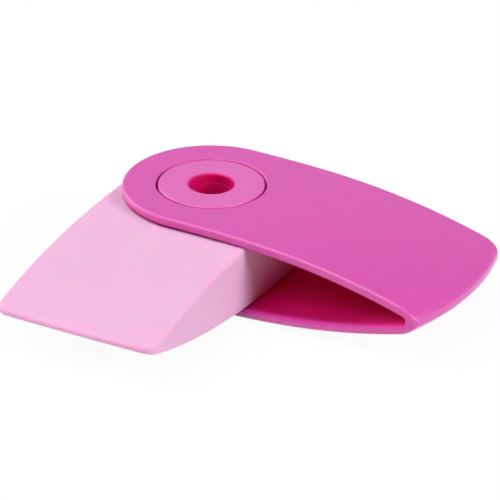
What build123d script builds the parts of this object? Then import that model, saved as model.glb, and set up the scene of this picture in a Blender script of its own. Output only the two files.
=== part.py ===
from build123d import *

import os
from math import hypot, sqrt

# Pocket swivel eraser: a wedge of erasing compound that turns on a hollow hub and swings into a moulded sleeve.
# Millimetres. The origin is on the pivot axis in the resting plane, +Z is up along the pivot and +X runs along the
# sleeve to its nose. The eraser is shown a quarter turn open, along -Y.

# Sleeve: two crowned plates joined at the nose
sleeve_width = 25.0
sleeve_height = 12.6
pivot_to_tip = 40.72
flat_radius = 10.3
plate_wall = 1.24
slot_end_height = 1.21
nose_wall = 1.47
nose_length = 2.3
nose_overrun = 0.08
tip_height = 0.64
nose_round_share = 1.5
tip_corner_round = 1.2
sleeve_edge_round = 0.5
mouth_edge_round = 0.2
slot_end_round_share = 0.95

# Eraser block, which follows the sleeve that it swings into
eraser_end_bow = 0.26
eraser_corner_round = 1.9
eraser_edge_round_share = 1.2
eraser_rest_angle = -90.0
eraser_station_shares = (0.0, 0.2, 0.4, 0.6, 0.8, 1.0)

# Hub: an upper disc with a collar, and a lower disc with a tube that plugs into the collar
hub_diameter = 14.9
hub_edge_round = 0.25
hub_hole_edge_round = 0.25
hub_tube_diameter = 9.2
hub_spigot_diameter = 7.8
hub_spigot_length = 4.0
lower_bore = 5.9
upper_bore = 6.2
bore_edge_round = 0.45

# Clearances
running_gap = 0.12
eraser_side_setback = 0.05
eraser_nose_gap = 0.45
journal_gap = 0.33
tube_gap = 0.1
spigot_gap = 0.03
cut_overrun = 1.0
match_tolerance = 0.01

# Sizes that follow from the ones above
mid_height = sleeve_height / 2
round_end_radius = sleeve_width / 2
cavity_top = mid_height - plate_wall
cavity_reach = pivot_to_tip - nose_wall
cavity_run = cavity_reach - flat_radius
cavity_fall = cavity_top - slot_end_height / 2
cavity_crown_radius = (cavity_run**2 + cavity_fall**2) / (2 * cavity_fall)
crown_radius = cavity_crown_radius + plate_wall
nose_reach = pivot_to_tip + nose_overrun
nose_start = nose_reach - nose_length
eraser_half_width = round_end_radius - eraser_side_setback
hub_radius = hub_diameter / 2
hub_hole_radius = hub_radius + journal_gap
tube_radius = hub_tube_diameter / 2
spigot_radius = hub_spigot_diameter / 2


def crown_drop(arc_radius, radius):
    """How far a crowned face has fallen below its flat middle at a distance from the pivot."""
    run = max(radius - flat_radius, 0)
    return arc_radius - sqrt(arc_radius**2 - run**2)


def cavity_half_height(radius):
    """Half the height of the sleeve's cavity at a distance from the pivot."""
    return cavity_top - crown_drop(cavity_crown_radius, radius)


def cavity_slope(radius):
    """How steeply the cavity's faces fall towards the nose at a distance from the pivot."""
    run = max(radius - flat_radius, 0)
    return run / sqrt(cavity_crown_radius**2 - run**2)


def eraser_edge_radius(distance):
    """How far from the pivot the eraser's long edges are, at a distance along the eraser."""
    return hypot(distance, eraser_half_width)


def eraser_half_height(distance):
    """Half the eraser's thickness at a distance along it, so that its long edges clear the cavity as it turns."""
    return cavity_half_height(eraser_edge_radius(distance)) - running_gap


# The eraser is as long as its rounded corners allow, which turn past the end of the cavity with a gap.
corner_middle_radius = cavity_reach - eraser_nose_gap - eraser_corner_round
corner_middle_reach = sqrt(corner_middle_radius**2 - (eraser_half_width - eraser_corner_round) ** 2)
eraser_reach = corner_middle_reach + eraser_corner_round + eraser_end_bow
eraser_edge_round = eraser_half_height(eraser_reach) * eraser_edge_round_share

# The hub's discs reach from the outside faces of the plates to the eraser, which they hold clear of the plates.
disc_height = mid_height - eraser_half_height(0)
spigot_top = sleeve_height - disc_height
spigot_base = spigot_top - hub_spigot_length


def crowned_disc(half_height, arc_ends, end_round):
    """A disc about the pivot, flat in the middle and curving down and up through arcs to a rounded rim."""
    upper = [Line((0, half_height), (flat_radius, half_height))]
    for arc_end in arc_ends:
        upper.append(TangentArc(upper[-1] @ 1, arc_end, tangent=upper[-1] % 1))
    lower = [mirror(edge, about=Plane.XZ) for edge in upper]
    rim = Line(upper[-1] @ 1, lower[-1] @ 1)
    axis_side = Line(lower[0] @ 0, upper[0] @ 0)
    section = make_face(upper + lower + [rim, axis_side])
    section = fillet(section.vertices().group_by(Axis.X)[-1], end_round)
    return Pos(0, 0, mid_height) * revolve(Plane.XZ * section, Axis.Z)


def pivot_hole(radius):
    """A cutter along the pivot that passes right through the part."""
    return Pos(0, 0, mid_height) * Cylinder(radius, sleeve_height + cut_overrun)


def outline_edges(solid):
    """The edges around the top and bottom of a solid's upright walls."""
    walls = [face for face in solid.faces() if abs(face.normal_at().Z) < 1e-6]
    edges = ShapeList(edge for wall in walls for edge in wall.edges())
    return edges.filter_by(lambda edge: abs((edge % 0.5).Z) < 0.99)


def mouth_edges(shell):
    """The edges where the cavity opens through the sleeve's upright walls."""
    walls = [face for face in shell.faces() if abs(face.normal_at().Z) < 1e-6]
    edges = ShapeList(edge for wall in walls for edge in wall.edges())
    return edges.filter_by(is_on_cavity)


def is_on_cavity(edge):
    middle = edge @ 0.5
    half_height = cavity_half_height(hypot(middle.X, middle.Y))
    return abs(middle.Z - mid_height) < half_height + match_tolerance


def hub_hole_rims(shell):
    """The outside rims of the two round holes that the hub's discs turn in."""
    rims = shell.edges().filter_by(GeomType.CIRCLE)
    rims = rims.filter_by(lambda rim: abs(rim.radius - hub_hole_radius) < match_tolerance)
    return rims.filter_by(lambda rim: abs(rim.center().Z - mid_height) > mid_height - match_tolerance)


def sleeve_plan():
    """The sleeve from above: a round end about the pivot, straight sides and a tip concentric with the pivot."""
    sides = Rectangle(pivot_to_tip, sleeve_width, align=(Align.MIN, Align.CENTER))
    tongue = sides & Circle(pivot_to_tip)
    tongue = fillet(tongue.vertices().group_by(Axis.X)[-1], tip_corner_round)
    return tongue + Circle(round_end_radius)


def make_sleeve():
    nose_start_half_height = mid_height - crown_drop(crown_radius, nose_start)
    outside_arc_ends = [(nose_start, nose_start_half_height), (nose_reach, tip_height / 2)]
    outside = crowned_disc(mid_height, outside_arc_ends, tip_height * nose_round_share)
    shell = extrude(sleeve_plan(), sleeve_height) & outside
    shell = fillet(outline_edges(shell), sleeve_edge_round)

    slot_end_half_height = slot_end_height / 2
    slot_end_round = slot_end_half_height * slot_end_round_share
    shell -= crowned_disc(cavity_top, [(cavity_reach, slot_end_half_height)], slot_end_round)
    shell = fillet(mouth_edges(shell), mouth_edge_round)

    shell -= pivot_hole(hub_hole_radius)
    return fillet(hub_hole_rims(shell), hub_hole_edge_round)


def eraser_plan():
    """The eraser from above, pointing along +X: a round end about the pivot, straight sides and a bowed end."""
    corner = eraser_reach - eraser_end_bow
    outline = [
        Line((0, eraser_half_width), (corner, eraser_half_width)),
        ThreePointArc((corner, eraser_half_width), (eraser_reach, 0), (corner, -eraser_half_width)),
        Line((corner, -eraser_half_width), (0, -eraser_half_width)),
        ThreePointArc((0, -eraser_half_width), (-eraser_half_width, 0), (0, eraser_half_width)),
    ]
    plan = make_face(outline)
    return fillet(plan.vertices().group_by(Axis.X)[-1], eraser_corner_round)


def eraser_side():
    """The eraser from the side: level around the pivot, then falling to a thin end."""
    stations = [share * eraser_reach for share in eraser_station_shares]
    end_radius = eraser_edge_radius(eraser_reach)
    end_slope = cavity_slope(end_radius) * eraser_reach / end_radius
    faces = Spline([(s, eraser_half_height(s)) for s in stations], tangents=[(1, 0), (1, -end_slope)])
    level = Line((-eraser_half_width, eraser_half_height(0)), (0, eraser_half_height(0)))
    upper = [level, faces]
    lower = [mirror(edge, about=Plane.XZ) for edge in upper]
    ends = [Line(upper[0] @ 0, lower[0] @ 0), Line(upper[1] @ 1, lower[1] @ 1)]
    return make_face(upper + lower + ends)


def make_eraser():
    wedge = Pos(0, 0, mid_height) * extrude(Plane.XZ * eraser_side(), eraser_half_width, both=True)
    block = extrude(eraser_plan(), sleeve_height) & wedge
    block = fillet(outline_edges(block), eraser_edge_round)
    block -= pivot_hole(tube_radius + tube_gap)
    return Rot(0, 0, eraser_rest_angle) * block


def turned(outline, rounds):
    """A solid turned about the pivot from a closed outline, with some of its corners rounded."""
    section = make_face(Polyline(*outline, close=True))
    for corner, radius in rounds:
        section = fillet(section.vertices().sort_by_distance(corner)[0], radius)
    return revolve(Plane.XZ * section, Axis.Z)


def make_hub_lower():
    rim = (hub_radius, 0)
    bore_rim = (lower_bore / 2, 0)
    outline = [
        bore_rim,
        rim,
        (hub_radius, disc_height),
        (tube_radius, disc_height),
        (tube_radius, spigot_base),
        (spigot_radius, spigot_base),
        (spigot_radius, spigot_top),
        (lower_bore / 2, spigot_top),
    ]
    return turned(outline, [(rim, hub_edge_round), (bore_rim, bore_edge_round)])


def make_hub_upper():
    rim = (hub_radius, sleeve_height)
    bore_rim = (upper_bore / 2, sleeve_height)
    socket_radius = spigot_radius + spigot_gap
    outline = [
        bore_rim,
        rim,
        (hub_radius, spigot_top),
        (tube_radius, spigot_top),
        (tube_radius, spigot_base + spigot_gap),
        (socket_radius, spigot_base + spigot_gap),
        (socket_radius, spigot_top),
        (upper_bore / 2, spigot_top),
    ]
    return turned(outline, [(rim, hub_edge_round), (bore_rim, bore_edge_round)])


os.makedirs("parts", exist_ok=True)
export_step(make_sleeve(), "parts/sleeve.step")
export_step(make_eraser(), "parts/eraser.step")
export_step(make_hub_upper(), "parts/hub_upper.step")
export_step(make_hub_lower(), "parts/hub_lower.step")
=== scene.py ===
from math import cos, pi, radians, sin

import bpy
from mathutils import Matrix, Vector


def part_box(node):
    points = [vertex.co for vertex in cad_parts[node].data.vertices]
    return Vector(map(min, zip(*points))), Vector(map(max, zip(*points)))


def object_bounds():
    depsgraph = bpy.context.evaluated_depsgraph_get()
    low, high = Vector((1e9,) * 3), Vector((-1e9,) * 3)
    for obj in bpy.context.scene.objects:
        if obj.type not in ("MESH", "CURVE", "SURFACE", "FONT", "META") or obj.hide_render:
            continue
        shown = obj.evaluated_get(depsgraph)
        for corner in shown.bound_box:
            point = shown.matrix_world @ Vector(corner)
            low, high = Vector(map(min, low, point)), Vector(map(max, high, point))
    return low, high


# Pocket swivel eraser: the looks, in metres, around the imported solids.

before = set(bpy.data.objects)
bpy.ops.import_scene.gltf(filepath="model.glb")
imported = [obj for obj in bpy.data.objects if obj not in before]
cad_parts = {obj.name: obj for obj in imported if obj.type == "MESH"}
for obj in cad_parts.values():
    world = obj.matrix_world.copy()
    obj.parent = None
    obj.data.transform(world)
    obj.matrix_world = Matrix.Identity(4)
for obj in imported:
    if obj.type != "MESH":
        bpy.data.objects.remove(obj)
cad_low, cad_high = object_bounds()

# Camera: its direction, and where the pivot's middle stands from the centre of a square picture
CAMERA_AZIMUTH = 29.2905
CAMERA_ELEVATION = 27.1033
CAMERA_ROLL = -0.5007
CAMERA_DISTANCE = 0.7263724
CAMERA_CLIP_RATIO = 100
PIVOT_LEFT = 0.0054244
PIVOT_UP = 0.003688
SENSOR_WIDTH = 36.0
PICTURE_WIDTH = 500
FOCAL_PIXELS = 5193.851

# Lamps: the direction that each shines from, how wide it looks in degrees and how strong it is
KEY_FROM = (0.88, 0.0, 0.475)
KEY_SPREAD = 26.0
KEY_LEVEL = 0.62
FILL_FROM = (-0.2, -0.43, 0.88)
FILL_SPREAD = 50.0
FILL_LEVEL = 0.62
STRIP_FROM = (-0.85, 0.0, 0.45)
STRIP_SPREAD = 50.0
STRIP_LEVEL = 0.42

# World and floor: how bright they are as light, and how bright the world looks in reflections
WORLD_LEVEL = 0.02
BACKDROP_LEVEL = 0.62
FLOOR_SIZE = 6.0
FLOOR_LEVEL = 0.9
SHADOW_SHARE = 0.06

# Sleeve: the sizes of its cavity and hub hole, the depths from its mouth where its painted shade changes,
# and where its painted glow begins towards the nose
FLAT_RADIUS = 0.0103
CAVITY_TOP = 0.00506
CAVITY_CROWN = 0.0945
CAVITY_REACH = 0.0393
MOUTH_ROUND = 0.0002
DEEP_START = -0.000375
DEEP_FULL = 0.0015
CORE_FULL = 0.005
PAINTED_GLOW_START = 0.028
HOLE_RADIUS = 0.00778
HOLE_ROUND = 0.00005

# Hub: the size of its bore
BORE_RADIUS = 0.0031
BORE_ROUND = 0.00045

# Eraser: its round end, which the plates always cover and which gets painted shade, and how soon that
# painted shade begins there
COVERED_RADIUS = 0.0124
COVERED_EDGE = 0.0005

# Walls: how level a face is where the painted wall colour (painted light on the sleeve, painted shade on the
# hub) begins and where it is full
WALL_START = 0.8
WALL_FULL = 0.2

# Colours, linear
SLEEVE_PINK = (0.68, 0.066, 0.425, 1)
# Painted light: a paler pink for the sleeve's upright walls
SLEEVE_WALL_PAINTED_LIGHT = (0.735, 0.108, 0.456, 1)
# Painted shade inside the sleeve's cavity, crimson nearer the mouth and redder further in
SLEEVE_PAINTED_SHADE = (0.52, 0.004, 0.125, 1)
SLEEVE_PAINTED_CORE_SHADE = (0.82, 0.004, 0.17, 1)
# Painted glow: a brighter red at the cavity's nose end, as if lit through the nose
SLEEVE_PAINTED_GLOW = (1.0, 0.03, 0.28, 1)
HUB_PINK = (0.745, 0.114, 0.475, 1)
# Painted shade: a slightly darker pink for the hub's upright walls
HUB_WALL_PAINTED_SHADE = (0.73, 0.1, 0.46, 1)
# Painted shade in the hub's bore
HUB_PAINTED_SHADE = (0.69, 0.003, 0.15, 1)
ERASER_PINK = (0.822, 0.47, 0.702, 1)
ERASER_PALE = (0.828, 0.477, 0.709, 1)
# Painted crimson shade for the eraser's round end under the plates
ERASER_PAINTED_SHADE = (0.8, 0.04, 0.4, 1)

# Noise: the part of its range that makes patches, and how much detail the patches of polish have
NOISE_LOW = 0.3
NOISE_HIGH = 0.7
POLISH_DETAIL = 4.0

# Plastic: clouds of colour, patches of polish, a moulded grain, a clear skin and how far light spreads in it
PLASTIC_DETAIL = 2.0
PLASTIC_CLOUD = 0.006
PLASTIC_CLOUD_LIFT = 1.02
PLASTIC_POLISH = 0.0012
PLASTIC_SMOOTHEST = 0.3
PLASTIC_ROUGHEST = 0.42
PLASTIC_DULLING = 0.5
PLASTIC_SPECULAR = 0.05
PLASTIC_GRAIN = 0.0002
PLASTIC_GRAIN_DEPTH = 0.00001
PLASTIC_GRAIN_STRENGTH = 0.12
PLASTIC_GLOW = (0.0006, 0.0002, 0.0004)
SKIN_ROUGHNESS = 0.34
SKIN_IOR = 1.62

# Erasing compound: the same without the skin
COMPOUND_DETAIL = 3.0
COMPOUND_CLOUD = 0.005
COMPOUND_POLISH = 0.0015
COMPOUND_SMOOTHEST = 0.5
COMPOUND_ROUGHEST = 0.65
COMPOUND_SPECULAR = 0.3
COMPOUND_GRAIN = 0.00025
COMPOUND_GRAIN_DEPTH = 0.00002
COMPOUND_GRAIN_STRENGTH = 0.15
COMPOUND_GLOW = (0.001, 0.0002, 0.0004)

scene = bpy.context.scene
scene.view_settings.view_transform = "Standard"
sleeve_low, sleeve_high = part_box("sleeve")
hub_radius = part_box("hub_upper")[1].x
pivot = Vector((0, 0, (sleeve_low.z + sleeve_high.z) / 2))


def toward_camera():
    azimuth = radians(CAMERA_AZIMUTH)
    elevation = radians(CAMERA_ELEVATION)
    return Vector((sin(azimuth) * cos(elevation), -cos(azimuth) * cos(elevation), sin(elevation)))


def add_camera():
    """The camera at the photograph's viewing angle."""
    forward = -toward_camera()
    level = Vector((forward.y, -forward.x, 0)).normalized()
    upright = level.cross(forward)
    roll = radians(CAMERA_ROLL)
    right = cos(roll) * level - sin(roll) * upright
    up = sin(roll) * level + cos(roll) * upright
    data = bpy.data.cameras.new("camera")
    data.sensor_width = SENSOR_WIDTH
    data.lens = FOCAL_PIXELS * SENSOR_WIDTH / PICTURE_WIDTH
    data.clip_start = CAMERA_DISTANCE / CAMERA_CLIP_RATIO
    data.clip_end = CAMERA_DISTANCE * CAMERA_CLIP_RATIO
    camera = bpy.data.objects.new("camera", data)
    scene.collection.objects.link(camera)
    place = pivot + PIVOT_LEFT * right - PIVOT_UP * up - CAMERA_DISTANCE * forward
    turn = Matrix((right, up, -forward)).transposed().to_4x4()
    camera.matrix_world = Matrix.Translation(place) @ turn
    scene.camera = camera


def new_material(name):
    material = bpy.data.materials.new(name)
    material.use_nodes = True
    nodes = material.node_tree.nodes
    nodes.clear()
    output = nodes.new("ShaderNodeOutputMaterial")
    return material, nodes, material.node_tree.links, output


class Shading:
    """A material's nodes, with short calls to add and link them."""

    def __init__(self, name):
        self.material, self.nodes, self.links, output = new_material(name)
        self.shader = self.nodes.new("ShaderNodeBsdfPrincipled")
        self.links.new(self.shader.outputs["BSDF"], output.inputs["Surface"])
        where = self.nodes.new("ShaderNodeTexCoord")
        self.place = where.outputs["Object"]
        self.facing = where.outputs["Normal"]

    def feed(self, socket, value):
        if isinstance(value, bpy.types.NodeSocket):
            self.links.new(value, socket)
        else:
            socket.default_value = value

    def set(self, name, value):
        self.feed(self.shader.inputs[name], value)

    def maths(self, operation, first, second=0.0):
        node = self.nodes.new("ShaderNodeMath")
        node.operation = operation
        self.feed(node.inputs[0], first)
        self.feed(node.inputs[1], second)
        return node.outputs[0]

    def ramp(self, value, start, end, low=0.0, high=1.0):
        """A smooth change from low, where the value is at start, to high, where it is at end."""
        node = self.nodes.new("ShaderNodeMapRange")
        node.interpolation_type = "SMOOTHSTEP"
        self.feed(node.inputs["Value"], value)
        self.feed(node.inputs["From Min"], start)
        self.feed(node.inputs["From Max"], end)
        self.feed(node.inputs["To Min"], low)
        self.feed(node.inputs["To Max"], high)
        return node.outputs["Result"]

    def blend(self, share, first, second):
        """The first colour where the share is 0, and the second where it is 1."""
        node = self.nodes.new("ShaderNodeMix")
        node.data_type = "RGBA"
        self.feed(node.inputs["Factor"], share)
        self.feed(node.inputs["A"], first)
        self.feed(node.inputs["B"], second)
        return node.outputs["Result"]

    def noise(self, grain, detail):
        """Noise whose features are about as wide as the grain."""
        node = self.nodes.new("ShaderNodeTexNoise")
        self.links.new(self.place, node.inputs["Vector"])
        node.inputs["Scale"].default_value = 1 / grain
        node.inputs["Detail"].default_value = detail
        return node.outputs["Fac"]

    def patches(self, grain, detail, low=0.0, high=1.0):
        """Soft patches of low and high values, about as wide as the grain."""
        return self.ramp(self.noise(grain, detail), NOISE_LOW, NOISE_HIGH, low, high)

    def bump(self, height, depth, strength):
        node = self.nodes.new("ShaderNodeBump")
        node.inputs["Strength"].default_value = strength
        node.inputs["Distance"].default_value = depth
        self.links.new(height, node.inputs["Height"])
        self.set("Normal", node.outputs["Normal"])

    def glow(self, reach):
        """Lets red, green and blue light spread that far inside the material."""
        self.set("Subsurface Weight", 1.0)
        self.set("Subsurface Radius", reach)
        self.set("Subsurface Scale", 1.0)

    def split(self, vector):
        node = self.nodes.new("ShaderNodeSeparateXYZ")
        self.links.new(vector, node.inputs[0])
        return node.outputs

    def radius(self):
        """The distance from the pivot's axis."""
        place = self.split(self.place)
        along = self.maths("MULTIPLY", place["X"], place["X"])
        across = self.maths("MULTIPLY", place["Y"], place["Y"])
        return self.maths("SQRT", self.maths("ADD", along, across))

    def upright(self):
        """1 on upright walls and 0 on level faces."""
        levelness = self.maths("ABSOLUTE", self.split(self.facing)["Z"])
        return self.ramp(levelness, WALL_FULL, WALL_START, 1.0, 0.0)


def inside_sleeve(shading):
    """Where the sleeve is dull, how much painted shade its cavity gets from the mouth inwards, and the
    painted shade colour, which turns to a painted glow towards the nose.
    """
    place = shading.split(shading.place)
    radius = shading.radius()
    run = shading.maths("MAXIMUM", shading.maths("SUBTRACT", radius, FLAT_RADIUS), 0.0)
    fall = shading.maths("DIVIDE", shading.maths("MULTIPLY", run, run), 2 * CAVITY_CROWN)
    ceiling = shading.maths("SUBTRACT", CAVITY_TOP, fall)
    height = shading.maths("ABSOLUTE", shading.maths("SUBTRACT", place["Z"], pivot.z))
    above = shading.maths("SUBTRACT", height, ceiling)
    within = shading.ramp(above, MOUTH_ROUND, 2 * MOUTH_ROUND, 1.0, 0.0)
    before_nose = shading.ramp(radius, CAVITY_REACH, CAVITY_REACH + MOUTH_ROUND, 1.0, 0.0)
    cavity = shading.maths("MULTIPLY", within, before_nose)
    hole = shading.ramp(radius, HOLE_RADIUS, HOLE_RADIUS + HOLE_ROUND, 1.0, 0.0)
    dull = shading.maths("MAXIMUM", cavity, hole)

    # Painted shade: the cavity turns crimson from the mouth inwards, and redder further in
    depth = shading.maths("SUBTRACT", sleeve_high.y, shading.maths("ABSOLUTE", place["Y"]))
    painted_shade = shading.maths("MULTIPLY", cavity, shading.ramp(depth, DEEP_START, DEEP_FULL))
    painted_core_shade = shading.blend(shading.ramp(depth, DEEP_FULL, CORE_FULL), SLEEVE_PAINTED_SHADE, SLEEVE_PAINTED_CORE_SHADE)
    # Painted glow: the cavity turns brighter red towards the nose
    toward_nose = shading.ramp(radius, PAINTED_GLOW_START, CAVITY_REACH)
    return dull, painted_shade, shading.blend(toward_nose, painted_core_shade, SLEEVE_PAINTED_GLOW)


def inside_hub(shading):
    """Where the hub is dull, where its bore gets painted shade, and the painted shade colour."""
    radius = shading.radius()
    # Painted shade: the bore below its rounded edge, which is also dull
    bore = shading.ramp(radius, BORE_RADIUS, BORE_RADIUS + BORE_ROUND, 1.0, 0.0)
    rim = shading.ramp(radius, hub_radius - HOLE_ROUND, hub_radius)
    return shading.maths("MAXIMUM", bore, rim), bore, HUB_PAINTED_SHADE


def moulded_plastic(name, colour, painted_wall_colour, inside):
    """Satin plastic with a moulded grain, a painted wall colour for light and shade on upright walls,
    painted shade in its hollows, and dull where little light gets in.
    """
    shading = Shading(name)
    dull, painted_shade, painted_shade_colour = inside(shading)
    lighter = (*[channel * PLASTIC_CLOUD_LIFT for channel in colour[:3]], 1)
    clouds = shading.patches(PLASTIC_CLOUD, PLASTIC_DETAIL)
    # Painted light and shade: upright walls take the painted wall colour
    outer = shading.blend(shading.upright(), shading.blend(clouds, colour, lighter), painted_wall_colour)
    # Painted shade in the hollows: the cavity and the bore take their painted shade colour
    shading.set("Base Color", shading.blend(painted_shade, outer, painted_shade_colour))
    shading.glow(PLASTIC_GLOW)
    polish = shading.patches(PLASTIC_POLISH, POLISH_DETAIL, PLASTIC_SMOOTHEST, PLASTIC_ROUGHEST)
    dulling = shading.maths("MULTIPLY", dull, PLASTIC_DULLING)
    shading.set("Roughness", shading.maths("ADD", polish, dulling))
    shading.set("Specular IOR Level", PLASTIC_SPECULAR)
    shading.set("Coat Weight", shading.maths("SUBTRACT", 1.0, dull))
    shading.set("Coat Roughness", SKIN_ROUGHNESS)
    shading.set("Coat IOR", SKIN_IOR)
    grain = shading.noise(PLASTIC_GRAIN, PLASTIC_DETAIL)
    shading.bump(grain, PLASTIC_GRAIN_DEPTH, PLASTIC_GRAIN_STRENGTH)
    return shading.material


def eraser_compound():
    """Soft matt compound with faint clouds and a fine grain, with painted crimson shade on the round end
    that the plates cover.
    """
    shading = Shading("eraser_compound")
    clouds = shading.patches(COMPOUND_CLOUD, COMPOUND_DETAIL)
    unshaded = shading.blend(clouds, ERASER_PINK, ERASER_PALE)
    # Painted shade: the round end under the plates turns crimson
    painted_shade_share = shading.ramp(shading.radius(), COVERED_RADIUS - COVERED_EDGE, COVERED_RADIUS, 1.0, 0.0)
    shading.set("Base Color", shading.blend(painted_shade_share, unshaded, ERASER_PAINTED_SHADE))
    shading.glow(COMPOUND_GLOW)
    polish = shading.patches(COMPOUND_POLISH, POLISH_DETAIL, COMPOUND_SMOOTHEST, COMPOUND_ROUGHEST)
    shading.set("Roughness", polish)
    shading.set("Specular IOR Level", COMPOUND_SPECULAR)
    grain = shading.noise(COMPOUND_GRAIN, COMPOUND_DETAIL)
    shading.bump(grain, COMPOUND_GRAIN_DEPTH, COMPOUND_GRAIN_STRENGTH)
    return shading.material


def seen_directly(nodes, links):
    """1 for the rays that show the surroundings as they look, and 0 for the rays that light the object."""
    path = nodes.new("ShaderNodeLightPath")
    seen = path.outputs["Is Camera Ray"]
    for kind in ("Is Glossy Ray", "Is Transmission Ray"):
        either = nodes.new("ShaderNodeMath")
        either.operation = "MAXIMUM"
        links.new(seen, either.inputs[0])
        links.new(path.outputs[kind], either.inputs[1])
        seen = either.outputs[0]
    return seen


def add_world():
    """A studio that gives little light of its own and looks bright in reflections."""
    world = bpy.data.worlds.new("studio")
    world.use_nodes = True
    scene.world = world
    nodes = world.node_tree.nodes
    links = world.node_tree.links
    nodes.clear()
    output = nodes.new("ShaderNodeOutputWorld")
    light = nodes.new("ShaderNodeBackground")
    level = nodes.new("ShaderNodeMapRange")
    level.inputs["To Min"].default_value = WORLD_LEVEL
    level.inputs["To Max"].default_value = BACKDROP_LEVEL
    links.new(seen_directly(nodes, links), level.inputs["Value"])
    links.new(level.outputs["Result"], light.inputs["Strength"])
    links.new(light.outputs[0], output.inputs["Surface"])


def add_floor():
    """A floor that looks white, with a faint shadow."""
    mesh = bpy.data.meshes.new("floor")
    half = FLOOR_SIZE / 2
    corners = [(-half, -half, 0), (half, -half, 0), (half, half, 0), (-half, half, 0)]
    mesh.from_pydata(corners, [], [(0, 1, 2, 3)])
    floor = bpy.data.objects.new("floor", mesh)
    floor.location.z = cad_low.z
    scene.collection.objects.link(floor)
    material, nodes, links, output = new_material("floor")
    seen = seen_directly(nodes, links)
    level = nodes.new("ShaderNodeMapRange")
    level.inputs["To Min"].default_value = FLOOR_LEVEL
    links.new(seen, level.inputs["Value"])
    matt = nodes.new("ShaderNodeBsdfDiffuse")
    links.new(level.outputs["Result"], matt.inputs["Color"])
    white = nodes.new("ShaderNodeEmission")
    share = nodes.new("ShaderNodeMath")
    share.operation = "MULTIPLY"
    share.inputs[1].default_value = 1 - SHADOW_SHARE
    links.new(seen, share.inputs[0])
    mix = nodes.new("ShaderNodeMixShader")
    links.new(share.outputs[0], mix.inputs["Fac"])
    links.new(matt.outputs[0], mix.inputs[1])
    links.new(white.outputs[0], mix.inputs[2])
    links.new(mix.outputs[0], output.inputs["Surface"])
    floor.data.materials.append(material)


def add_lamp(name, source, spread, level):
    """A soft lamp that is far away in the direction of its source."""
    data = bpy.data.lights.new(name, "SUN")
    data.energy = level * pi
    data.angle = radians(spread)
    lamp = bpy.data.objects.new(name, data)
    lamp.rotation_euler = Vector(source).to_track_quat("Z", "Y").to_euler()
    scene.collection.objects.link(lamp)


def dress(node, material):
    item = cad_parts[node]
    item.data.materials.clear()
    item.data.materials.append(material)


add_camera()
add_world()
add_floor()
add_lamp("key", KEY_FROM, KEY_SPREAD, KEY_LEVEL)
add_lamp("fill", FILL_FROM, FILL_SPREAD, FILL_LEVEL)
add_lamp("strip", STRIP_FROM, STRIP_SPREAD, STRIP_LEVEL)
hub_plastic = moulded_plastic("hub_plastic", HUB_PINK, HUB_WALL_PAINTED_SHADE, inside_hub)
sleeve_plastic = moulded_plastic("sleeve_plastic", SLEEVE_PINK, SLEEVE_WALL_PAINTED_LIGHT, inside_sleeve)
dress("sleeve", sleeve_plastic)
dress("hub_upper", hub_plastic)
dress("hub_lower", hub_plastic)
dress("eraser", eraser_compound())
